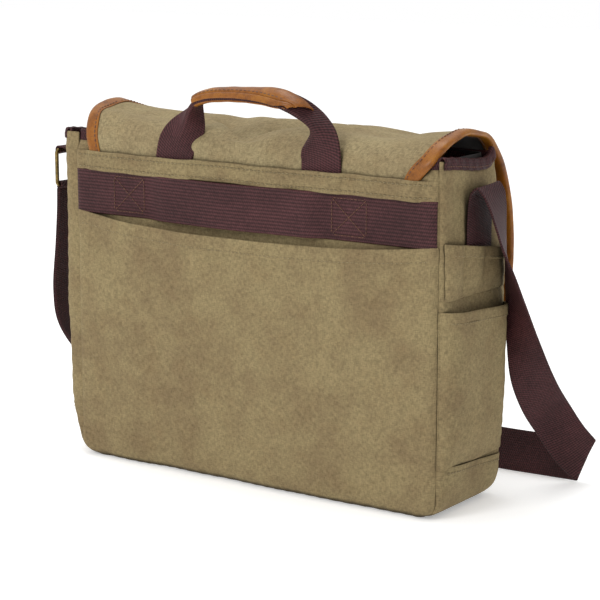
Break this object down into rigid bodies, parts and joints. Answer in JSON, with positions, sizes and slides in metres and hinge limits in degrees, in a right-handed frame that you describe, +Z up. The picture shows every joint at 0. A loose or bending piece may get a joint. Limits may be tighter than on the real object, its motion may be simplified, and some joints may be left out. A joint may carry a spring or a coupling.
{
  "type": "messenger bag",
  "caption": "Canvas messenger bag with a leather-edged flap, top handle, open back pocket, trolley band, gusset pockets and a webbing shoulder strap.",
  "frame": {"origin": "middle of the base on the floor", "axes": "+Z up, the flap hangs down the -Y side, +X towards the metal ring"},
  "size_m": [0.5029, 0.1992, 0.3544],
  "materials": {
    "canvas": "washed olive-khaki cotton canvas",
    "webbing": "plum-brown ribbed nylon webbing",
    "leather": "waxed tan leather, cut strip",
    "lining": "dark brown polyester lining",
    "board": "stiff plastic board",
    "brass": "antique brass plating"
  },
  "bodies": {
    "bag": {"back_panel": "canvas", "front_panel": "canvas", "gusset_left": "canvas", "gusset_right": "canvas", "base_panel": "canvas", "base_board": "board", "lining": "lining", "laptop_divider": "lining", "mouth_binding": "webbing", "back_pocket": "canvas", "trolley_band": "webbing", "top_hem": "canvas", "handle_tabs": "webbing", "flap_root": "canvas", "flap_root_binding": "leather", "front_pocket": "canvas", "snap_sockets": "brass", "pen_pocket": "canvas", "phone_pocket": "canvas", "strap_anchor": "webbing", "ring_tab_anchor": "webbing"},
    "flap_over": {"flap_top": "canvas", "flap_top_binding": "leather"},
    "flap_hang": {"flap_front": "canvas", "flap_front_binding": "leather", "snap_studs": "brass"},
    "handle": {"handle_grip": "leather", "handle_webbing": "webbing"},
    "strap": {"shoulder_strap": "webbing", "strap_return": "webbing", "ring_tab": "webbing", "strap_ring": "brass"},
    "slider": {"strap_slider": "brass"}
  },
  "joints": [
    {"name": "flap_lift", "type": "hinge", "parent": "bag", "child": "flap_over", "pos_m": [0, 0.0532, 0.3035], "axis": [-1, 0, 0], "range_deg": [0, 65]},
    {"name": "flap_fold", "type": "hinge", "parent": "flap_over", "child": "flap_hang", "pos_m": [0, -0.0675, 0.299], "axis": [-1, 0, 0], "range_deg": [0, 80]},
    {"name": "handle_swing", "type": "hinge", "parent": "bag", "child": "handle", "pos_m": [0, 0.0551, 0.2844], "axis": [-1, 0, 0], "range_deg": [0, 85]},
    {"name": "strap_swing", "type": "hinge", "parent": "bag", "child": "strap", "pos_m": [0, 0, 0.265], "axis": [-1, 0, 0], "range_deg": [0, 150]},
    {"name": "slider_slide", "type": "slide", "parent": "strap", "child": "slider", "axis": [1, 0, 0], "range_m": [-0.025, 0.025]}
  ]
}
